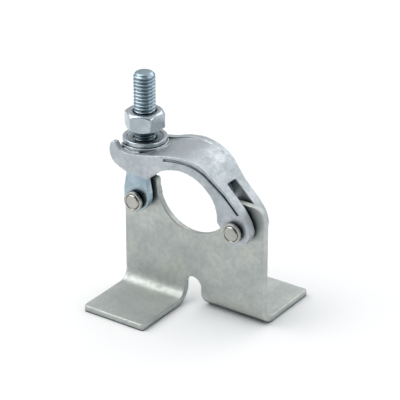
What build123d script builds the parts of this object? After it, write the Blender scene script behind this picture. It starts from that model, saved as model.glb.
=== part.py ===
from build123d import *
import math
import os

# Board retaining coupler for 48.3 mm scaffold tube, standing on its two feet.
# Millimetres. Origin: centre of the tube seat in the plate's mid-plane.
# +X from the bolt side to the hinge side, +Y along the tube to the rear foot, +Z up.

# ---- driving dimensions ----
seat_radius = 24.8           # round seat for a 48.3 mm tube
ground_z = -72.0             # underside of both feet
sheet = 4.0                  # thickness of the pressed bracket
left_x = -48.0               # sides of the bracket
right_x = 48.9
ear_top_z = 3.2              # top of the two ears beside the seat
ear_corner_radius = 8.5
seat_corner_radius = 1.6     # where the seat's straight sides meet the ears' tops
bend_radius = 6.8            # inside of the foot bends
foot_corner_radius = 2.0
foot_front_y = -44.0
foot_rear_y = 46.0
notch_half_width = 5.5
notch_top_z = ground_z + 18.4

pin_x = 34.4                 # both pins stand this far from the middle
pin_z = -10.2
pin_radius = 4.45
pin_clearance = 0.05
head_radius = 6.0
head_height = 4.2
head_face_radius = 3.9
head_shoulder = (0.9, 1.4)   # radius and height lost at the shoulder, then to the head's full width
head_crown = 2.7
head_undercut = 0.3
tail_height = 2.8
tail_taper = (0.2, 0.7, 2.4)  # radius lost from the washer to the tail's end
tail_washer_radius = 6.7
tail_washer_thickness = 1.5
spacer_radius = 6.0
face_gap = 0.05              # running gap between faces that turn on each other

thread_radius = 6.35         # 1/2 inch thread
stud_top_z = 66.4
stud_dome = ((0.0, 2.0), (1.5, 0.4), (2.6, 0.0))  # radius and height lost at the stud's top
front_leg = (-9.6, -4.8)     # front and rear faces of the fork's wide front leg
rear_leg = (3.0, 6.0)        # and of its slim rear leg
leg_radius = (8.6, 7.8)      # front leg, rear leg
leg_centre_z = -8.4
leg_side_z = (-4.1, -8.0)    # the legs' straight sides end here and lean in to the neck
neck_half_width = (7.0, 3.8)
neck_z = (5.0, 0.5)
crotch_z = 6.2
crown_rear_y = 7.5
crown_top_z = 14.3
crown_fillet = 3.0

nut_across_flats = 21.0
nut_height = 11.0
nut_bottom_z = 31.8
nut_turn = 21.0              # degrees, where one corner points
nut_face_inset = 0.9         # from the flats to the round chamfered face
nut_chamfer_angle = 35.0
nut_lead_in = 0.9            # countersink at each end of the bore

washer_radius = 13.0
washer_bore_radius = 6.9
washer_rim_radius = 10.7
washer_thickness = 2.7
washer_bore_thickness = 1.5
washer_corner = 0.4
washer_rim_corner = 0.6
seat_top_z = 24.4            # washer seat on the cap
boss_radius = 13.7

cap_half_width = 17.2        # at the bolt end
cap_rear_y = 18.8            # where the strap bulges most at the rear
cap_centre = (-1.1, -5.0)    # centre of the cap's tube arc as it rests closed with no tube
cap_arc_radius = 24.2
ear_radius = 9.3
prong_inside = 4.0
prong_outside = 11.0
head_reach = 7.2             # the prongs are this wide and flat from here inside the hinge pin
slot_through_radius = 18.0   # the hinge slot goes right through this far from the hinge pin
slot_end_radius = 25.9       # and has a floor from there to here
slot_floor = 2.8
bolt_slot_radius = 6.7
pocket_half_width = 10.2
pocket_roof_z = 15.9
horn_inside = 13.25          # the horns stand just clear of the washer
rim_drop = 1.2               # how far the top lies below its raised rims
lip_depth = 1.8              # from the top edge down to the groove along each side
groove_width = 1.6
groove_depth = 1.2

plate_face = sheet / 2
pin_hole_radius = pin_radius + pin_clearance
far = 200.0
diagonal = math.sqrt(0.5)


def front_slab(face, y_low, y_high):
    """Extrude a face drawn in X and Z between two Y planes."""
    solid = extrude(Plane.XZ * face, amount=(y_high - y_low) / 2, both=True)
    return Pos(0, (y_low + y_high) / 2, 0) * solid


def y_cylinder(x, z, radius, y_low, y_high):
    return front_slab(Pos(x, z) * Circle(radius), y_low, y_high)


def block(x_low, x_high, y_low, y_high, z_low, z_high):
    size = Box(x_high - x_low, y_high - y_low, z_high - z_low)
    return Pos((x_low + x_high) / 2, (y_low + y_high) / 2, (z_low + z_high) / 2) * size


def turned(points, x):
    """Revolve a (radius, height) outline about a pin axis; height grows to the front."""
    outline = make_face(Polyline([(r, -h) for r, h in points], close=True))
    return Pos(x, 0, pin_z) * revolve(outline, Axis.Y)


def upright(points, x):
    """Revolve a (radius, height) outline about a vertical axis."""
    outline = make_face(Polyline(points, close=True))
    return Pos(x, 0, 0) * revolve(Plane.XZ * outline, Axis.Z)


def write(shape, node):
    shape.label = node
    export_step(shape, f"parts/{node}.step")


# ---- bracket: one pressed sheet, feet bent forwards and backwards ----
def foot(x_low, x_high, y_end):
    """The bend and the foot, bent towards y_end, as an L section along X."""
    side = 1 if y_end > 0 else -1
    outer = bend_radius + sheet
    centre_y = side * (plate_face + bend_radius)
    centre_z = ground_z + outer
    far_face, near_face = -side * plate_face, side * plate_face
    line = [
        Line((far_face, centre_z), (near_face, centre_z)),
        ThreePointArc(
            (near_face, centre_z),
            (centre_y - side * bend_radius * diagonal, centre_z - bend_radius * diagonal),
            (centre_y, ground_z + sheet),
        ),
        Line((centre_y, ground_z + sheet), (y_end, ground_z + sheet)),
        Line((y_end, ground_z + sheet), (y_end, ground_z)),
        Line((y_end, ground_z), (centre_y, ground_z)),
        ThreePointArc(
            (centre_y, ground_z),
            (centre_y - side * outer * diagonal, centre_z - outer * diagonal),
            (far_face, centre_z),
        ),
    ]
    section = Plane.YZ * make_face(line)
    return Pos(x_low, 0, 0) * extrude(section, amount=x_high - x_low)


def bracket_plate():
    bend_top = ground_z + bend_radius + sheet
    sheet_face = Pos((left_x + right_x) / 2, (bend_top + ear_top_z) / 2) * Rectangle(
        right_x - left_x, ear_top_z - bend_top
    )
    sheet_face = fillet(sheet_face.vertices().group_by(Axis.Y)[-1], ear_corner_radius)
    seat = Circle(seat_radius) + Pos(0, far / 2) * Rectangle(2 * seat_radius, far)
    sheet_face -= seat
    inner_corners = [
        v for v in sheet_face.vertices() if abs(abs(v.X) - seat_radius) < 0.01 and v.Y > 1
    ]
    sheet_face = fillet(inner_corners, seat_corner_radius)
    for x in (-pin_x, pin_x):
        sheet_face -= Pos(x, pin_z) * Circle(pin_hole_radius)
    plate = front_slab(sheet_face, -plate_face, plate_face)
    plate += foot(left_x, -notch_half_width, foot_front_y)
    plate += foot(notch_half_width, right_x, foot_rear_y)
    round_z = notch_top_z - notch_half_width
    notch = Pos(0, round_z) * Circle(notch_half_width)
    notch += Pos(0, round_z - far / 2) * Rectangle(2 * notch_half_width, far)
    plate -= front_slab(notch, -plate_face, plate_face)
    foot_corners = [
        e
        for e in plate.edges().filter_by(Axis.Z)
        if e.length < sheet + 0.01 and abs(e.center().Y) > -foot_front_y - 1
    ]
    return fillet(foot_corners, foot_corner_radius)


# ---- rivets, spacers and tail washers ----
def rivet(x, grip, rear_face):
    """A headed pin from the front face held to a tail washer on the rear face."""
    rear = rear_face + tail_washer_thickness
    top = grip + head_height
    outline = [
        (0, top),
        (head_face_radius, top),
        (head_radius - head_shoulder[0], top - head_shoulder[1]),
        (head_radius, top - head_crown),
        (head_radius, grip + head_undercut),
        (head_radius - head_undercut, grip),
        (pin_radius, grip),
        (pin_radius, -rear),
        (head_radius - tail_taper[0], -rear),
        (head_radius - tail_taper[1], -rear - 0.55 * tail_height),
        (head_radius - tail_taper[2], -rear - tail_height),
        (0, -rear - tail_height),
    ]
    return turned(outline, x)


def ring(x, outer, y_low, y_high):
    tube = y_cylinder(x, pin_z, outer, y_low, y_high)
    return tube - y_cylinder(x, pin_z, pin_hole_radius, y_low - 1, y_high + 1)


# ---- fork bolt: threaded stud forged in one piece with a two-legged fork ----
def leg(radius, side_z, neck, neck_low_z, faces):
    """One leg with a round end about the pin, running up into the crown."""
    side = [
        (radius, leg_centre_z),
        (radius, side_z),
        (neck, neck_low_z),
        (neck, crown_top_z - crown_fillet),
    ]
    outline = side + [(-x, z) for x, z in reversed(side)]
    face = Pos(0, leg_centre_z) * Circle(radius) + make_face(Polyline(outline, close=True))
    return front_slab(face, *faces)


def fork_bolt():
    crown_side = neck_half_width[0]
    fork = block(-crown_side, crown_side, front_leg[0], crown_rear_y, crotch_z, crown_top_z)
    shoulder = [e for e in fork.edges().filter_by(Axis.X) if e.center().Z > crown_top_z - 0.01]
    fork = fillet(shoulder, crown_fillet)
    for i, faces in enumerate((front_leg, rear_leg)):
        fork += leg(leg_radius[i], leg_side_z[i], neck_half_width[i], neck_z[i], faces)
    stud = [(0, crown_top_z - 1), (thread_radius, crown_top_z - 1)]
    stud += [(thread_radius - inset, stud_top_z - drop) for inset, drop in stud_dome]
    stud += [(0, stud_top_z)]
    fork += upright(stud, 0)
    fork -= y_cylinder(0, pin_z, pin_hole_radius, -far, far)
    return Pos(-pin_x, 0, 0) * fork


def hex_nut():
    corner = nut_across_flats / math.sqrt(3)
    hexagon = RegularPolygon(corner, 6, rotation=nut_turn)
    nut = Pos(0, 0, nut_bottom_z) * extrude(hexagon, amount=nut_height)
    top = nut_bottom_z + nut_height
    flat = nut_across_flats / 2 - nut_face_inset
    chamfer_z = (corner - flat) * math.tan(math.radians(nut_chamfer_angle))
    envelope = [
        (0, nut_bottom_z),
        (flat, nut_bottom_z),
        (corner + 0.01, nut_bottom_z + chamfer_z),
        (corner + 0.01, top - chamfer_z),
        (flat, top),
        (0, top),
    ]
    nut &= upright(envelope, 0)
    bore = thread_radius + face_gap
    mouth = bore + nut_lead_in
    hole = [
        (0, nut_bottom_z - 1),
        (mouth + 1, nut_bottom_z - 1),
        (mouth, nut_bottom_z),
        (bore, nut_bottom_z + nut_lead_in),
        (bore, top - nut_lead_in),
        (mouth, top),
        (mouth + 1, top + 1),
        (0, top + 1),
    ]
    return Pos(-pin_x, 0, 0) * (nut - upright(hole, 0))


def saddle_washer():
    low = seat_top_z + face_gap
    high = low + washer_thickness
    outline = [
        (washer_bore_radius, low),
        (washer_radius - washer_corner, low),
        (washer_radius, low + washer_corner),
        (washer_radius, high - washer_rim_corner),
        (washer_radius - washer_rim_corner, high),
        (washer_rim_radius, high),
        (washer_bore_radius, low + washer_bore_thickness),
    ]
    return upright(outline, -pin_x)


# ---- cap: forged strap that closes over the tube ----
def cap_top_edge():
    """Upper edge of the cap from the front of the horn to the hinge ear."""
    horn_tip = (-44.6, 27.0)
    saddle = Spline(
        (-42.9, 26.5),
        (-39.6, 22.9),
        (-34.7, 21.8),
        (-29.0, 22.5),
        (-20.0, 24.5),
        (-11.0, 26.4),
        (-3.0, 27.2),
        (4.0, 27.0),
        (10.0, 25.7),
        (17.2, 21.9),
    )
    back = Line((17.2, 21.9), (36.7, 2.6))
    ear_side = (pin_x + ear_radius, pin_z)
    shoulder = ThreePointArc((36.7, 2.6), (41.2, -3.4), ear_side)
    tip = ThreePointArc((-46.2, 25.9), horn_tip, (-42.9, 26.5))
    return [tip, saddle, back, shoulder]


def cap_side_face():
    """The whole cap seen from the front, before its slots."""
    arc_low = 9.2
    arc_low_x = cap_centre[0] - math.sqrt(cap_arc_radius**2 - (arc_low - cap_centre[1]) ** 2)
    ear_bottom = (pin_x, pin_z - ear_radius)
    ear_inner = (pin_x - ear_radius, pin_z)
    corner = ear_radius * diagonal
    arc_end, crown = (
        (
            cap_centre[0] + cap_arc_radius * math.cos(math.radians(turn)),
            cap_centre[1] + cap_arc_radius * math.sin(math.radians(turn)),
        )
        for turn in (-5, 70)
    )
    lower = [
        ThreePointArc((pin_x + ear_radius, pin_z), (pin_x + corner, pin_z - corner), ear_bottom),
        ThreePointArc(ear_bottom, (pin_x - corner, pin_z - corner), ear_inner),
        Line(ear_inner, arc_end),
        ThreePointArc(arc_end, crown, (arc_low_x, arc_low)),
        Line((arc_low_x, arc_low), (-33.0, 9.6)),
        Spline((-33.0, 9.6), (-40.6, 12.1), (-45.4, 15.6), (-47.2, 20.6), (-46.2, 25.9)),
    ]
    return make_face(cap_top_edge() + lower)


def plan_outline(narrowing):
    """The cap seen from above, narrowed on each side."""
    stations = [
        (-22.0, cap_half_width, cap_half_width),
        (-16.0, cap_half_width, 18.6),
        (-8.5, 16.6, cap_rear_y),
        (0.0, 15.4, 17.2),
        (8.0, 14.5, 15.3),
        (18.0, 13.5, 13.6),
    ]
    rear = [(x, rear_y - narrowing) for x, width, rear_y in stations]
    front = [(x, narrowing - width) for x, width, rear_y in reversed(stations)]
    end_width = prong_outside - narrowing
    ear_x = pin_x - head_reach
    end_x, start_x = 60.0, -60.0
    start = cap_half_width - narrowing
    return make_face(
        [
            Line((start_x, start), rear[0]),
            Spline(*rear),
            Line(rear[-1], (ear_x, end_width)),
            Line((ear_x, end_width), (end_x, end_width)),
            Line((end_x, end_width), (end_x, -end_width)),
            Line((end_x, -end_width), (ear_x, -end_width)),
            Line((ear_x, -end_width), front[0]),
            Spline(*front),
            Line(front[-1], (start_x, -start)),
            Line((start_x, -start), (start_x, start)),
        ]
    )


def cap_top_cut():
    """What is taken off between the raised rims and between the horns."""
    floor = make_face(
        [
            Spline(
                (-60.0, 20.0),
                (-44.0, 20.3),
                (-34.7, 21.8 - rim_drop),
                (-29.0, 22.5 - rim_drop),
                (-20.0, 24.5 - rim_drop),
                (-11.0, 26.4 - 0.8 * rim_drop),
                (-3.0, 27.2 - 0.6 * rim_drop),
                (4.0, 27.0 - 0.5 * rim_drop),
                (10.0, 25.7 - 0.5 * rim_drop),
                (17.0, 23.0),
            ),
            Line((17.0, 23.0), (17.0, far)),
            Line((17.0, far), (-60.0, far)),
            Line((-60.0, far), (-60.0, 20.0)),
        ]
    )
    between = extrude(plan_outline(cap_half_width - horn_inside), amount=far)
    return front_slab(floor, -cap_half_width, cap_rear_y) & between


def washer_boss():
    """Round seat; its outer half rocks about the bolt pin, so that the washer swings clear."""
    boss = Pos(-pin_x, 0, pocket_roof_z) * extrude(
        Circle(boss_radius), amount=seat_top_z - pocket_roof_z
    )
    rocker = y_cylinder(-pin_x, pin_z, seat_top_z - pin_z, -far, far)
    outer_half = block(-far, -pin_x, -far, far, -far, far)
    return boss - (outer_half - rocker)


def side_groove_cut():
    """A groove along each side face under the edge lip, from the crown to the hinge."""
    upper, lower = (
        [Pos(0, -drop) * edge for edge in cap_top_edge()[1:3]]
        for drop in (lip_depth, lip_depth + groove_width)
    )
    region = make_face(
        upper
        + lower
        + [Line(upper[0] @ 0, lower[0] @ 0), Line(upper[1] @ 1, lower[1] @ 1)]
    )
    shell = extrude(plan_outline(-1.0) - plan_outline(groove_depth), amount=far, both=True)
    right_of_crown = block(-10.0, far, -far, far, -far, far)
    return front_slab(region, -far / 2, far / 2) & shell & right_of_crown


def clamp_cap():
    cap = front_slab(cap_side_face(), -cap_half_width, cap_rear_y)
    cap &= extrude(plan_outline(0.0), amount=far, both=True)
    cap -= cap_top_cut()
    cap += washer_boss() & block(-46.3, far, -16.2, 16.2, -far, far)
    cap -= side_groove_cut()

    # slot for the stud, open at the bolt end, and the pocket for the fork under it
    slot = Circle(bolt_slot_radius) + Pos(-far / 2, 0) * Rectangle(far, 2 * bolt_slot_radius)
    cap -= Pos(-pin_x, 0, 0) * extrude(slot, amount=far)
    pocket_end = -pin_x + neck_half_width[0] + 0.9
    cap -= block(
        -far, pocket_end, -pocket_half_width, pocket_half_width, -far, pocket_roof_z
    )

    # slot for the bracket's ear, and the bore for the hinge rivet
    cap -= y_cylinder(pin_x, pin_z, slot_through_radius, -prong_inside, prong_inside)
    floored = y_cylinder(pin_x, pin_z, slot_end_radius, -prong_inside, prong_inside)
    cap -= floored - y_cylinder(*cap_centre, cap_arc_radius + slot_floor, -far, far)
    cap -= y_cylinder(pin_x, pin_z, pin_hole_radius, -far, far)
    return cap


os.makedirs("parts", exist_ok=True)
write(bracket_plate(), "bracket_plate")
hinge_side = (-prong_outside, -prong_inside, prong_inside, prong_outside)
for name, x, held in (("bolt", -pin_x, front_leg + rear_leg), ("hinge", pin_x, hinge_side)):
    front, front_inside, rear_inside, rear = held
    low = rear + face_gap
    write(rivet(x, -front + face_gap, low), f"{name}_rivet")
    write(ring(x, tail_washer_radius, low, low + tail_washer_thickness), f"{name}_rivet_washer")
    front_spacer = ring(x, spacer_radius, front_inside + face_gap, -plate_face)
    write(front_spacer, f"{name}_spacer_front")
    rear_spacer = ring(x, spacer_radius, plate_face, rear_inside - face_gap)
    write(rear_spacer, f"{name}_spacer_rear")
write(fork_bolt(), "fork_bolt")
write(saddle_washer(), "saddle_washer")
write(hex_nut(), "hex_nut")
write(clamp_cap(), "clamp_cap")
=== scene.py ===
"""Looks of a board retaining scaffold coupler: pressed bracket, forged cap and swing bolt."""

import math

import bmesh
import bpy
import numpy as np
from mathutils import Matrix, Vector, noise

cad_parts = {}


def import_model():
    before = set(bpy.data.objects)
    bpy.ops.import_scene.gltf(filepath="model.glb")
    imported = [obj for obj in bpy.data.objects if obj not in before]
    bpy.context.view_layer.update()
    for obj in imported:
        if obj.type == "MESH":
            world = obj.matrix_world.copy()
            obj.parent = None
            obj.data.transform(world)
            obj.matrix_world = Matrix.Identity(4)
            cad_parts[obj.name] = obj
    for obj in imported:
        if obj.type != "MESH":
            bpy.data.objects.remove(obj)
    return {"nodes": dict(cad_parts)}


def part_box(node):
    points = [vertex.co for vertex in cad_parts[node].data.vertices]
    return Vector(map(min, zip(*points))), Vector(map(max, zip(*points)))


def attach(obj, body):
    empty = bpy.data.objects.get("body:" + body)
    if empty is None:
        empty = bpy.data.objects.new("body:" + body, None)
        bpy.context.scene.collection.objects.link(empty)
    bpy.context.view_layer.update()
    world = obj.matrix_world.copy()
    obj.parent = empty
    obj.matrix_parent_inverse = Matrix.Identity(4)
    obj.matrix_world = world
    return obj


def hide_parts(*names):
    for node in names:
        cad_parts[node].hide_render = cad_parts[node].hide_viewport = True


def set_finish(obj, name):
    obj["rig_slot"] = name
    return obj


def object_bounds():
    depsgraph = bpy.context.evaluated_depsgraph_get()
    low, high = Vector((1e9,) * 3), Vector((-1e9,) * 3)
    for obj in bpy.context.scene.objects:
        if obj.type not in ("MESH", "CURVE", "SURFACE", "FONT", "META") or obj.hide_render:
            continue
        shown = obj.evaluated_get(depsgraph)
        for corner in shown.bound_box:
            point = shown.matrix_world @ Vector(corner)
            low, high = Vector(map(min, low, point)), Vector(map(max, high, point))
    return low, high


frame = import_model()
cad_low, cad_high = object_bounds()

MM = 0.001
COARSE = 1.0
TAU = 2 * math.pi

CAD_WELD = 1e-6                          # points of a CAD mesh closer than this are one
LATHE_WELD = 1e-7                        # and of a turned outline
CORNER_STEPS = 4                         # straight pieces in a rounded corner of an outline
CORNER_SHARE = 0.49                      # most of an edge that one of its corners may take

FORK_CUT = 1.2 * MM                      # above the crown, where the softened fork ends
THREAD_FOOT = 1.0 * MM                   # below the crown, where the thread piece starts inside it

# Half inch stud, 12 turns to the inch.
THREAD_PITCH = 25.4 * MM / 12
THREAD_DEPTH = 0.46 * THREAD_PITCH
THREAD_SIDES = 72
RINGS_PER_TURN = 10
CREST_END, ROOT_START = 0.14, 0.86       # where a flank begins and ends, from crest to root
FLANK_STRAIGHT, FLANK_EASED = 0.55, 0.45
THREAD_START = 3.0 * MM                  # above the foot of the thread piece
THREAD_FADE = 2.5 * THREAD_PITCH         # height over which it reaches full depth
DOME_HEIGHT = 2.0 * MM
# Radius lost and rise of each ring of the domed end, mm.
DOME = ((0.45, 0.55), (1.0, 1.1), (1.6, 1.55), (2.3, 1.8), (3.6, 1.95), (5.4, 2.0))

NUT_SIDES = 192
NUT_POWER = 52.0                         # of the rounded hexagon; higher has sharper corners
NUT_FACE_INSET = 0.9 * MM                # from the flats to the edge of the round face
NUT_CHAMFER = math.radians(35)
NUT_LEAST_CHAMFER = 0.06 * MM
NUT_EASE = 0.18 * MM                     # rounding of the chamfer's two edges
NUT_FACE_LOOP = 0.8 * MM                 # keeps the round face flat up to its edge
NUT_COUNTERSINK = 0.9 * MM

WASHER_SIDES = 128
WASHER_TIGHTER = 0.35 * MM               # than the CAD bore, so that no floor shows past the thread
WASHER_RIM = 2.3 * MM                    # width of the raised rim

PIN_SIDES = 96
RIVET_HEAD = (                           # radius lost, depth from the head's face, corner, mm
    (3.4, 0.0, 0.0),
    (2.7, 0.0, 0.0),
    (2.1, 0.0, 0.3),
    (0.85, 1.4, 0.6),
    (0.0, 2.7, 0.6),
)
RIVET_TAIL = (                           # radius lost, share of the tail's height, corner
    (0.2, 0.0, 0.2),
    (0.7, 0.55, 0.9),
    (2.4, 1.0, 0.9),
    (4.0, 1.0, 0.0),
)
RIVET_UNDER_HEAD = 0.3 * MM              # corner at the back of the head
SHANK_CLEARANCE = 0.05 * MM
RING_EASE = 0.25 * MM


# ---------------------------------------------------------------- sizes read from the frame
def points_of(mesh):
    """The vertices of a mesh, as rows."""
    points = np.empty(len(mesh.vertices) * 3)
    mesh.vertices.foreach_get("co", points)
    return points.reshape(-1, 3)


def cad_points(node):
    return points_of(frame["nodes"][node].data)


def middle(node):
    low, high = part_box(node)
    return (low + high) / 2


def from_stud(points, axis_x):
    """Distance of each point from an upright axis."""
    return np.hypot(points[:, 0] - axis_x, points[:, 1])


def from_pin(points, axis):
    """Distance of each point from an axis along Y."""
    return np.hypot(points[:, 0] - axis.x, points[:, 2] - axis.z)


# ---------------------------------------------------------------- mesh helpers
def new_piece(name, points, faces, body, slot, *nodes):
    """A smooth-shaded mesh that rides on a body and stands for CAD nodes."""
    mesh = bpy.data.meshes.new(name)
    mesh.from_pydata([tuple(p) for p in points], [], faces)
    mesh.update()
    piece = bpy.data.objects.new(name, mesh)
    bpy.context.scene.collection.objects.link(piece)
    return dress(piece, body, slot, *nodes)


def dress(piece, body, slot, *nodes):
    """Smooth shading, and what the frame has to know of a piece."""
    fix_normals(piece.data)
    piece.data.polygons.foreach_set("use_smooth", [True] * len(piece.data.polygons))
    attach(piece, body)
    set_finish(piece, slot)
    if nodes:
        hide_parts(*nodes)
    return piece


def fix_normals(mesh):
    work = bmesh.new()
    work.from_mesh(mesh)
    bmesh.ops.recalc_face_normals(work, faces=work.faces)
    work.to_mesh(mesh)
    work.free()


def round_corners(outline):
    """A closed (radius, height) outline, rounded; each point given is (r, h, corner radius)."""
    result = []
    count = len(outline)
    for i, (r, h, radius) in enumerate(outline):
        here = Vector((r, h))
        before = Vector(outline[i - 1][:2]) - here
        after = Vector(outline[(i + 1) % count][:2]) - here
        if radius <= 0:
            result.append((r, h))
            continue
        turn = before.angle(after)
        reach = radius / math.tan(turn / 2)
        reach = min(reach, CORNER_SHARE * before.length, CORNER_SHARE * after.length)
        start = here + before.normalized() * reach
        end = here + after.normalized() * reach
        for k in range(CORNER_STEPS + 1):
            t = k / CORNER_STEPS
            point = start * (1 - t) ** 2 + here * 2 * t * (1 - t) + end * t * t
            result.append((point.x, point.y))
    return result


def lathe(outlines, place):
    """Points and faces of closed outlines set evenly round; place maps (r, h, angle) to a point."""
    sides, rings = len(outlines), len(outlines[0])
    points, faces = [], []
    for k, outline in enumerate(outlines):
        points += [place(r, h, TAU * k / sides) for r, h in outline]
        a, b = k * rings, (k + 1) % sides * rings
        for i in range(rings):
            j = (i + 1) % rings
            faces.append((a + i, a + j, b + j, b + i))
    return points, faces


def about_y(axis):
    """Places an outline about a pin axis, with heights along Y."""

    def place(r, h, angle):
        return (axis.x + r * math.cos(angle), h, axis.z + r * math.sin(angle))

    return place


def about_z(axis_x):
    """Places an outline about an upright axis, with heights along Z."""

    def place(r, h, angle):
        return (axis_x + r * math.cos(angle), r * math.sin(angle), h)

    return place


def weld(piece):
    """Joins the doubled points that a solid outline leaves on its axis."""
    work = bmesh.new()
    work.from_mesh(piece.data)
    bmesh.ops.remove_doubles(work, verts=work.verts, dist=LATHE_WELD)
    bmesh.ops.dissolve_degenerate(work, edges=work.edges, dist=LATHE_WELD)
    work.to_mesh(piece.data)
    work.free()
    fix_normals(piece.data)


def cad_copy(node, name, keep_below=None):
    """A loose copy of a CAD node's mesh, welded, and cut off above a height if one is given."""
    mesh = frame["nodes"][node].data.copy()
    work = bmesh.new()
    work.from_mesh(mesh)
    bmesh.ops.remove_doubles(work, verts=work.verts, dist=CAD_WELD)
    if keep_below is not None:
        cut = bmesh.ops.bisect_plane(
            work,
            geom=work.verts[:] + work.edges[:] + work.faces[:],
            plane_co=(0, 0, keep_below),
            plane_no=(0, 0, 1),
            clear_outer=True,
        )
        rim = [e for e in cut["geom_cut"] if isinstance(e, bmesh.types.BMEdge)]
        bmesh.ops.edgeloop_fill(work, edges=rim)
    work.to_mesh(mesh)
    work.free()
    piece = bpy.data.objects.new(name, mesh)
    bpy.context.scene.collection.objects.link(piece)
    return piece


def apply_modifiers(piece):
    """Bakes a piece's modifiers into its mesh."""
    graph = bpy.context.evaluated_depsgraph_get()
    made = bpy.data.meshes.new_from_object(piece.evaluated_get(graph), depsgraph=graph)
    old = piece.data
    piece.modifiers.clear()
    piece.data = made
    bpy.data.meshes.remove(old)


def soften(piece, voxel, passes):
    """Remeshes evenly and relaxes, so that edges are rounded as forging and plating leave them."""
    remesh = piece.modifiers.new("remesh", "REMESH")
    remesh.mode = "VOXEL"
    remesh.voxel_size = voxel * COARSE
    relax = piece.modifiers.new("relax", "SMOOTH")
    relax.factor = 0.5
    relax.iterations = max(2, round(passes / COARSE**2))
    apply_modifiers(piece)


def set_points(mesh, points):
    mesh.vertices.foreach_set("co", points.ravel())
    mesh.update()


def unevenness(piece, size, depth, seed):
    """Moves the surface in and out by smooth noise of that size and depth."""
    mesh = piece.data
    points = points_of(mesh)
    normals = np.empty(len(mesh.vertices) * 3)
    mesh.vertex_normals.foreach_get("vector", normals)
    normals = normals.reshape(-1, 3)
    shift = Vector((seed, 2 * seed, 3 * seed))
    amount = [noise.noise(Vector(p) / size + shift) for p in points]
    set_points(mesh, points + normals * (np.array(amount) * depth)[:, None])


# ---------------------------------------------------------------- materials
class Nodes:
    """Short names for building a node tree."""

    def __init__(self, tree):
        self.tree = tree
        self.tree.nodes.clear()

    def add(self, kind, **settings):
        node = self.tree.nodes.new(kind)
        for name, value in settings.items():
            setattr(node, name, value)
        return node

    def link(self, out, into):
        self.tree.links.new(out, into)

    def noise(self, coordinates, grade):
        """Noise of a grade, which is its scale, detail and roughness."""
        node = self.add("ShaderNodeTexNoise")
        for name, value in zip(("Scale", "Detail", "Roughness"), grade):
            node.inputs[name].default_value = value
        self.link(coordinates, node.inputs["Vector"])
        return node.outputs["Fac"]

    def remap(self, value, span, result):
        """Eases from the first result to the second as the value crosses the span."""
        node = self.add("ShaderNodeMapRange", interpolation_type="SMOOTHSTEP")
        self.link(value, node.inputs["Value"])
        node.inputs["From Min"].default_value, node.inputs["From Max"].default_value = span
        node.inputs["To Min"].default_value, node.inputs["To Max"].default_value = result
        return node.outputs["Result"]

    def maths(self, operation, first, second):
        node = self.add("ShaderNodeMath", operation=operation)
        for socket, value in zip(node.inputs, (first, second)):
            if isinstance(value, (int, float)):
                socket.default_value = value
            else:
                self.link(value, socket)
        return node.outputs["Value"]

    def mix(self, share, first, second):
        """A colour between two, each of them an RGB triple or a socket."""
        node = self.add("ShaderNodeMix", data_type="RGBA")
        self.link(share, node.inputs["Factor"])
        for name, value in (("A", first), ("B", second)):
            socket = [s for s in node.inputs if s.name == name and s.type == "RGBA"][0]
            if isinstance(value, tuple):
                socket.default_value = (*value, 1.0)
            else:
                self.link(value, socket)
        return [s for s in node.outputs if s.type == "RGBA"][0]

    def shelter(self, reach):
        """1 in the open, and less the more of the surroundings within reach is metal."""
        node = self.add("ShaderNodeAmbientOcclusion", samples=8)
        node.inputs["Distance"].default_value = reach
        return node.outputs["AO"]


# Noise grades of the plating: scale, detail, roughness.
CLOUDS = (55.0, 5.0, 0.55)
MOTTLE = (420.0, 5.0, 0.6)
BLOTCHES = (38.0, 3.0, 0.5)
FINE_GRAIN = (2600.0, 3.0, 0.6)
PIT_CELLS = (900.0, 2.0, 0.5)

# The third brightness is painted shade, darkening concave spots in colour.
MOTTLED, RUBBED, HOLLOW_PAINTED_SHADE = 0.82, 1.22, 0.30     # brightness beside the plain finish
# Painted shade: colour is darkened where nearby metal shelters a spot, over a wide reach and in
# narrow seams.
WIDE_PAINTED_SHADE_REACH, WIDE_PAINTED_SHADE = 7 * MM, (0.03, 0.06, 0.08)
NARROW_PAINTED_SHADE_REACH, NARROW_PAINTED_SHADE = 2.2 * MM, (0.03, 0.05, 0.06)

# What each record slot looks like: three tones, how much stain shows, the range of roughness,
# the height of the grain, the depth of pits, how bright edges are rubbed, and a shift of the noise.
FINISHES = {
    "bracket_zinc": dict(
        bright=(0.545, 0.570, 0.545),
        dull=(0.475, 0.503, 0.490),
        stain=(0.510, 0.490, 0.415),
        roughness=(0.47, 0.60),
        grain=0.03,
        seed=0.3,
    ),
    "cap_zinc": dict(
        bright=(0.55, 0.59, 0.61),
        dull=(0.46, 0.50, 0.53),
        stain=(0.47, 0.47, 0.44),
        stain_share=0.2,
        roughness=(0.40, 0.56),
        grain=0.03,
        pits=0.05,
        edge=0.3,
        seed=1.1,
    ),
    "bolt_zinc": dict(
        bright=(0.41, 0.51, 0.57),
        dull=(0.30, 0.39, 0.45),
        stain=(0.33, 0.36, 0.35),
        stain_share=0.15,
        roughness=(0.24, 0.38),
        seed=2.3,
    ),
    "nut_zinc": dict(
        bright=(0.50, 0.55, 0.58),
        dull=(0.40, 0.45, 0.49),
        stain=(0.48, 0.48, 0.45),
        stain_share=0.15,
        roughness=(0.20, 0.34),
        seed=3.1,
    ),
    "washer_zinc": dict(
        bright=(0.52, 0.57, 0.60),
        dull=(0.40, 0.45, 0.49),
        stain=(0.48, 0.48, 0.45),
        stain_share=0.15,
        roughness=(0.22, 0.36),
        seed=4.7,
    ),
    "rivet_steel": dict(
        bright=(0.45, 0.45, 0.42),
        dull=(0.37, 0.37, 0.345),
        stain=(0.43, 0.39, 0.32),
        stain_share=0.2,
        roughness=(0.16, 0.28),
        seed=5.9,
    ),
    "spacer_zinc": dict(
        bright=(0.42, 0.46, 0.48),
        dull=(0.32, 0.36, 0.38),
        stain=(0.34, 0.32, 0.27),
        roughness=(0.32, 0.46),
        seed=7.3,
    ),
}


def shade(rgb, brightness):
    return tuple(min(1.0, brightness * c) for c in rgb)


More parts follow.
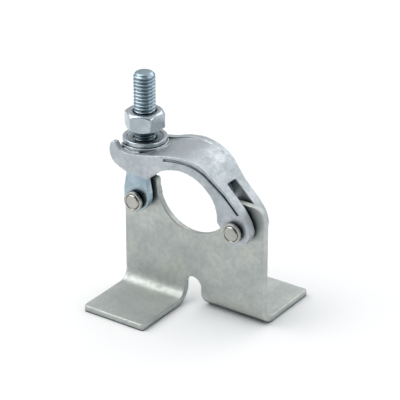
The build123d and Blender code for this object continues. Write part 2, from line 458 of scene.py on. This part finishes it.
def plated(
    name, bright, dull, stain, roughness, seed, stain_share=0.35, grain=0.02, pits=0.0, edge=0.35
):
    """Zinc plating: clouds, faint stains, fine grain, pits, rubbed edges, and painted shade that
    darkens crevices and hollows.
    """
    material = bpy.data.materials.new(name)
    material.use_nodes = True
    n = Nodes(material.node_tree)
    out = n.add("ShaderNodeOutputMaterial")
    shader = n.add("ShaderNodeBsdfPrincipled")
    n.link(shader.outputs["BSDF"], out.inputs["Surface"])
    shader.inputs["Metallic"].default_value = 1.0

    moved = n.add("ShaderNodeVectorMath", operation="ADD")
    n.link(n.add("ShaderNodeTexCoord").outputs["Object"], moved.inputs[0])
    moved.inputs[1].default_value = (seed, seed * 1.7, -seed)
    place = moved.outputs["Vector"]
    clouds = n.noise(place, CLOUDS)
    mottle = n.noise(place, MOTTLE)
    blotches = n.noise(place, BLOTCHES)
    fine = n.noise(place, FINE_GRAIN)

    colour = n.mix(n.remap(clouds, (0.36, 0.66), (0.0, 1.0)), dull, bright)
    colour = n.mix(n.remap(blotches, (0.52, 0.72), (0.0, stain_share)), colour, stain)
    colour = n.mix(n.remap(mottle, (0.35, 0.70), (0.0, 0.30)), colour, shade(dull, MOTTLED))
    pointed = n.add("ShaderNodeNewGeometry").outputs["Pointiness"]
    colour = n.mix(n.remap(pointed, (0.51, 0.60), (0.0, edge)), colour, shade(bright, RUBBED))
    # Painted shade: concave spots are darkened in colour.
    colour = n.mix(n.remap(pointed, (0.49, 0.43), (0.0, 0.75)), colour, shade(dull, HOLLOW_PAINTED_SHADE))
    # Painted shade over a wide reach: under the nut, in the slot and in pockets.
    colour = n.mix(n.remap(n.shelter(WIDE_PAINTED_SHADE_REACH), (0.78, 0.22), (0.0, 0.93)), colour, WIDE_PAINTED_SHADE)
    # Painted shade over a short reach: a dark line in seams and under overhanging lips.
    colour = n.mix(n.remap(n.shelter(NARROW_PAINTED_SHADE_REACH), (0.80, 0.42), (0.0, 0.85)), colour, NARROW_PAINTED_SHADE)
    n.link(colour, shader.inputs["Base Color"])

    gloss = n.remap(mottle, (0.30, 0.72), roughness)
    gloss = n.maths("ADD", gloss, n.remap(clouds, (0.35, 0.68), (0.05, -0.03)))
    n.link(gloss, shader.inputs["Roughness"])

    height = n.maths("MULTIPLY", fine, grain)
    height = n.maths("ADD", height, n.maths("MULTIPLY", mottle, 3.0 * grain))
    if pits:
        pit = n.remap(n.noise(place, PIT_CELLS), (0.40, 0.30), (0.0, -pits))
        height = n.maths("ADD", height, pit)
    bump = n.add("ShaderNodeBump")
    bump.inputs["Strength"].default_value = 0.6
    bump.inputs["Distance"].default_value = MM
    n.link(height, bump.inputs["Height"])
    n.link(bump.outputs["Normal"], shader.inputs["Normal"])
    return material


# ---------------------------------------------------------------- pieces
def pressed_bracket():
    """The bent sheet with edges eased by the press and the plating, level on the floor."""
    piece = cad_copy("bracket_plate", "pressed_bracket")
    soften(piece, 0.48 * MM, passes=5)
    unevenness(piece, 17 * MM, 0.10 * MM, seed=1.3)
    unevenness(piece, 5 * MM, 0.02 * MM, seed=4.1)
    points = points_of(piece.data)
    points[:, 2] = np.maximum(points[:, 2], cad_low.z)
    set_points(piece.data, points)
    return dress(piece, "bracket", "bracket_zinc", "bracket_plate")


def forged_cap():
    """The strap with soft forged edges and a slightly rough skin."""
    piece = cad_copy("clamp_cap", "forged_cap")
    soften(piece, 0.33 * MM, passes=6)
    unevenness(piece, 7 * MM, 0.12 * MM, seed=2.9)
    unevenness(piece, 2.2 * MM, 0.05 * MM, seed=7.7)
    return dress(piece, "cap", "cap_zinc", "clamp_cap")


def bolt_fork(crown_top):
    """The forged fork, cut off a little way up the stud, where the thread piece goes on."""
    piece = cad_copy("fork_bolt", "bolt_fork", keep_below=crown_top + FORK_CUT)
    soften(piece, 0.34 * MM, passes=9)
    unevenness(piece, 6 * MM, 0.10 * MM, seed=5.3)
    return dress(piece, "bolt", "bolt_zinc", "fork_bolt")


def thread_flank(turns):
    """From 0 at a crest to 1 at a root, with both rounded as a rolled thread has them."""
    wave = abs(2 * (turns - math.floor(turns)) - 1)
    t = min(max((wave - CREST_END) / (ROOT_START - CREST_END), 0.0), 1.0)
    return FLANK_STRAIGHT * t + FLANK_EASED * t * t * (3 - 2 * t)


def bolt_thread(axis_x, crest, low, high):
    """The stud above the fork, with a true helical thread and a domed end."""
    place = about_z(axis_x)
    points = []

    def add_ring(z, fade, widest, lift):
        """One ring, cut as the thread is at z, held within a radius, and moved up by lift."""
        for k in range(THREAD_SIDES):
            cut = THREAD_DEPTH * thread_flank(z / THREAD_PITCH - k / THREAD_SIDES) * fade
            points.append(place(min(crest - cut, widest), z + lift, TAU * k / THREAD_SIDES))

    levels = [low]
    while levels[-1] < high - DOME_HEIGHT:
        levels.append(levels[-1] + THREAD_PITCH / RINGS_PER_TURN)
    for z in levels:
        fade = min(max((z - (low + THREAD_START)) / THREAD_FADE, 0.0), 1.0)
        add_ring(z, fade, crest, 0.0)
    top = levels[-1]
    for inset, rise in DOME:
        add_ring(top + rise * MM, 1.0, crest - inset * MM, high - (top + DOME_HEIGHT))

    faces = []
    last = len(points) - THREAD_SIDES
    for a in range(0, last, THREAD_SIDES):
        b = a + THREAD_SIDES
        for k in range(THREAD_SIDES):
            j = (k + 1) % THREAD_SIDES
            faces.append((a + k, a + j, b + j, b + k))
    faces.append(tuple(range(THREAD_SIDES)))
    faces.append(tuple(last + k for k in range(THREAD_SIDES)))
    return new_piece("bolt_thread", points, faces, "bolt", "bolt_zinc")


def nut(axis_x):
    """Hexagon with both faces turned to a cone, and a countersunk bore."""
    low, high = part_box("hex_nut")
    cad = cad_points("hex_nut")
    reach = from_stud(cad, axis_x)
    far = int(reach.argmax())
    corner = float(reach[far])
    turn = math.atan2(cad[far, 1], cad[far, 0] - axis_x)
    half_flat = corner * math.cos(math.pi / 6)
    face = half_flat - NUT_FACE_INSET
    bore = float(reach.min())
    mouth = bore + NUT_COUNTERSINK

    def hexagon(angle):
        """Distance to the side at an angle, with corners a little rounded."""
        flats = [angle - turn - math.radians(30 + 60 * k) for k in range(6)]
        total = sum(max(math.cos(flat), 0.0) ** NUT_POWER for flat in flats)
        return half_flat / total ** (1 / NUT_POWER)

    def outline(angle):
        """One section, from radii and depths below the face that run from the bore outwards."""
        side = min(hexagon(angle), corner)
        drop = max(side - face, NUT_LEAST_CHAMFER) * math.tan(NUT_CHAMFER)
        half = [
            (bore, NUT_COUNTERSINK),
            (bore + 0.25 * MM, 0.55 * MM),
            (mouth - 0.15 * MM, 0.08 * MM),
            (mouth + 0.1 * MM, 0.0),
            (face - NUT_FACE_LOOP, 0.0),
            (face - NUT_EASE, 0.0),
            (face + 0.35 * (side - face), 0.35 * drop + 0.02 * MM),
            (side - 0.35 * NUT_EASE, drop - 0.1 * NUT_EASE),
            (side, drop + NUT_EASE),
            (side, drop + 3 * NUT_EASE),
        ]
        bottom = [(r, low.z + h) for r, h in half]
        top = [(r, high.z - h) for r, h in reversed(half)]
        return bottom + top

    outlines = [outline(TAU * k / NUT_SIDES) for k in range(NUT_SIDES)]
    points, faces = lathe(outlines, about_z(axis_x))
    return new_piece("hex_nut_body", points, faces, "nut", "nut_zinc", "hex_nut")


def dished_washer(axis_x):
    """Thick round washer, dished inside a raised rim."""
    low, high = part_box("saddle_washer")
    outer = (high.x - low.x) / 2
    bore = float(from_stud(cad_points("saddle_washer"), axis_x).min()) - WASHER_TIGHTER
    rim = outer - WASHER_RIM
    outline = [                          # radius, height and corner, up the rim and down the dish
        (bore, low.z, 0.1 * MM),
        (outer, low.z, 0.5 * MM),
        (outer, high.z, 0.7 * MM),
        (rim, high.z, 0.5 * MM),
        (rim - 0.9 * MM, high.z - 0.75 * MM, 0.5 * MM),
        (bore + 0.6 * MM, low.z + 1.6 * MM, 0.4 * MM),
        (bore, low.z + 1.1 * MM, 0.2 * MM),
    ]
    points, faces = lathe([round_corners(outline)] * WASHER_SIDES, about_z(axis_x))
    return new_piece("dished_washer", points, faces, "washer", "washer_zinc", "saddle_washer")


def rivet(name, washer):
    """Turned head at the front, shank, and a hammered tail over its washer."""
    low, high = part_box(name)
    axis = middle(name)
    head = (high.x - low.x) / 2
    bore = float(from_pin(cad_points(washer), axis).min())
    cad = cad_points(name)
    reach = from_pin(cad, axis)
    on_shank = (reach < bore) & (reach > 0.9 * bore)
    head_base = float(cad[on_shank, 1].min())
    tail_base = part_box(washer)[1].y
    tail = high.y - tail_base
    shank = bore - SHANK_CLEARANCE
    # Radius, place along the pin and corner, from the head's face to the tail's end.
    outline = [(0.0, low.y, 0)]
    outline += [(head - lost * MM, low.y + h * MM, c * MM) for lost, h, c in RIVET_HEAD]
    outline += [
        (head, head_base, RIVET_UNDER_HEAD),
        (shank, head_base, 0),
        (shank, tail_base, 0),
    ]
    outline += [(head - lost * MM, tail_base + h * tail, c * MM) for lost, h, c in RIVET_TAIL]
    outline.append((0.0, high.y, 0))
    points, faces = lathe([round_corners(outline)] * PIN_SIDES, about_y(axis))
    piece = new_piece(name + "_body", points, faces, "bracket", "rivet_steel", name)
    weld(piece)
    return piece


def ring(node):
    """A plain ring with eased edges, along Y."""
    low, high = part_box(node)
    axis = middle(node)
    outer = (high.x - low.x) / 2
    bore = float(from_pin(cad_points(node), axis).min())
    corners = ((bore, low.y), (outer, low.y), (outer, high.y), (bore, high.y))
    outline = round_corners([(r, h, RING_EASE) for r, h in corners])
    points, faces = lathe([outline] * PIN_SIDES, about_y(axis))
    return new_piece(node + "_ring", points, faces, "bracket", "spacer_zinc", node)


def build_pieces():
    stud_x = middle("hex_nut").x
    cad = cad_points("fork_bolt")
    reach = from_stud(cad, stud_x)
    above_nut = cad[:, 2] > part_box("hex_nut")[1].z
    crest = float(reach[above_nut].max())
    crown_top = float(cad[reach > 1.1 * crest, 2].max())
    pieces = [
        pressed_bracket(),
        forged_cap(),
        bolt_fork(crown_top),
        bolt_thread(stud_x, crest, crown_top - THREAD_FOOT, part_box("fork_bolt")[1].z),
        nut(stud_x),
        dished_washer(stud_x),
        rivet("bolt_rivet", "bolt_rivet_washer"),
        rivet("hinge_rivet", "hinge_rivet_washer"),
    ]
    rings = ["bolt_rivet_washer", "hinge_rivet_washer"]
    rings += [f"{end}_spacer_{side}" for end in ("bolt", "hinge") for side in ("front", "rear")]
    return pieces + [ring(node) for node in rings]


# ---------------------------------------------------------------- stage, light and camera
TENT_TOP, TENT_SIDE, TENT_FRONT = (0.88, 0.89, 0.90), (0.62, 0.64, 0.65), (0.12, 0.16, 0.19)
TENT_OPENING = (0.55, -0.72, 0.42)             # towards the photographer
TENT_STRENGTH = 0.9

LIGHTS = (                                     # name, direction, distance, size, power, colour
    ("key", (-0.75, -0.45, 0.95), 1.1, (1.1, 1.1), 9.0, (1.0, 0.99, 0.97)),
    ("right_strip", (0.95, 0.15, 0.55), 1.0, (0.4, 0.9), 2.2, (0.95, 0.98, 1.0)),
    ("rear", (0.1, 0.9, 0.75), 1.0, (0.9, 0.45), 2.0, (1.0, 1.0, 1.0)),
)

FLOOR_HALF = 3.0
FLOOR_TONE = 0.90

AZIMUTH, ELEVATION = math.radians(34.55), math.radians(26.33)
CAMERA_DISTANCE = 1.1364
CAMERA_AIM = Vector((0, 0, -2 * MM))
CAMERA_RIGHT, CAMERA_DOWN = 2.99, 2.39         # mm aside from the line through the aim


def floor():
    half = FLOOR_HALF
    around = ((-half, -half), (half, -half), (half, half), (-half, half))
    corners = [(x, y, cad_low.z) for x, y in around]
    mesh = bpy.data.meshes.new("floor")
    mesh.from_pydata(corners, [], [(0, 1, 2, 3)])
    plane = bpy.data.objects.new("floor", mesh)
    bpy.context.scene.collection.objects.link(plane)
    material = bpy.data.materials.new("floor_white")
    material.use_nodes = True
    shader = material.node_tree.nodes["Principled BSDF"]
    shader.inputs["Base Color"].default_value = (FLOOR_TONE, FLOOR_TONE, FLOOR_TONE, 1)
    shader.inputs["Roughness"].default_value = 0.9
    mesh.materials.append(material)


def world():
    """A pale tent, dimmer towards the front, where the photographer's side is open."""
    scene_world = bpy.data.worlds.new("tent")
    bpy.context.scene.world = scene_world
    scene_world.use_nodes = True
    n = Nodes(scene_world.node_tree)
    out = n.add("ShaderNodeOutputWorld")
    light = n.add("ShaderNodeBackground")
    n.link(light.outputs["Background"], out.inputs["Surface"])
    where = n.add("ShaderNodeTexCoord").outputs["Generated"]

    def towards(direction):
        dot = n.add("ShaderNodeVectorMath", operation="DOT_PRODUCT")
        n.link(where, dot.inputs[0])
        dot.inputs[1].default_value = Vector(direction).normalized()
        return dot.outputs["Value"]

    front = n.remap(towards(TENT_OPENING), (0.50, 0.95), (0.0, 1.0))
    upper = n.remap(towards((0, 0, 1)), (0.0, 0.8), (0.0, 1.0))
    colour = n.mix(upper, TENT_SIDE, TENT_TOP)
    colour = n.mix(front, colour, TENT_FRONT)
    seen = n.add("ShaderNodeLightPath").outputs["Is Camera Ray"]
    colour = n.mix(seen, colour, (1.0, 1.0, 1.0))
    n.link(colour, light.inputs["Color"])
    light.inputs["Strength"].default_value = TENT_STRENGTH


def area_light(name, direction, distance, size, power, colour):
    light = bpy.data.lights.new(name, "AREA")
    light.shape = "RECTANGLE"
    light.size, light.size_y = size
    light.energy = power
    light.color = colour
    lamp = bpy.data.objects.new(name, light)
    bpy.context.scene.collection.objects.link(lamp)
    away = Vector(direction).normalized()
    lamp.location = away * distance
    lamp.rotation_mode = "QUATERNION"
    lamp.rotation_quaternion = away.to_track_quat("Z", "Y")


def camera():
    """Long lens, 35 degrees round from the front towards the hinge side and 26 above."""
    right = Vector((math.cos(AZIMUTH), math.sin(AZIMUTH), 0))
    forward = Vector(
        (
            -math.sin(AZIMUTH) * math.cos(ELEVATION),
            math.cos(AZIMUTH) * math.cos(ELEVATION),
            -math.sin(ELEVATION),
        )
    )
    up = right.cross(forward)
    data = bpy.data.cameras.new("camera")
    data.lens = 180
    data.sensor_width = 36
    data.clip_start, data.clip_end = 0.05, 20
    eye = bpy.data.objects.new("camera", data)
    bpy.context.scene.collection.objects.link(eye)
    place = CAMERA_AIM - forward * CAMERA_DISTANCE
    place = place + right * CAMERA_RIGHT * MM - up * CAMERA_DOWN * MM
    turn = Matrix((right, up, -forward)).transposed().to_4x4()
    eye.matrix_world = Matrix.Translation(place) @ turn
    bpy.context.scene.camera = eye


materials = {name: plated(name, **finish) for name, finish in FINISHES.items()}
for piece in build_pieces():
    piece.data.materials.clear()
    piece.data.materials.append(materials[piece["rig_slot"]])

floor()
world()
for settings in LIGHTS:
    area_light(*settings)
camera()
bpy.context.scene.view_settings.view_transform = "Standard"
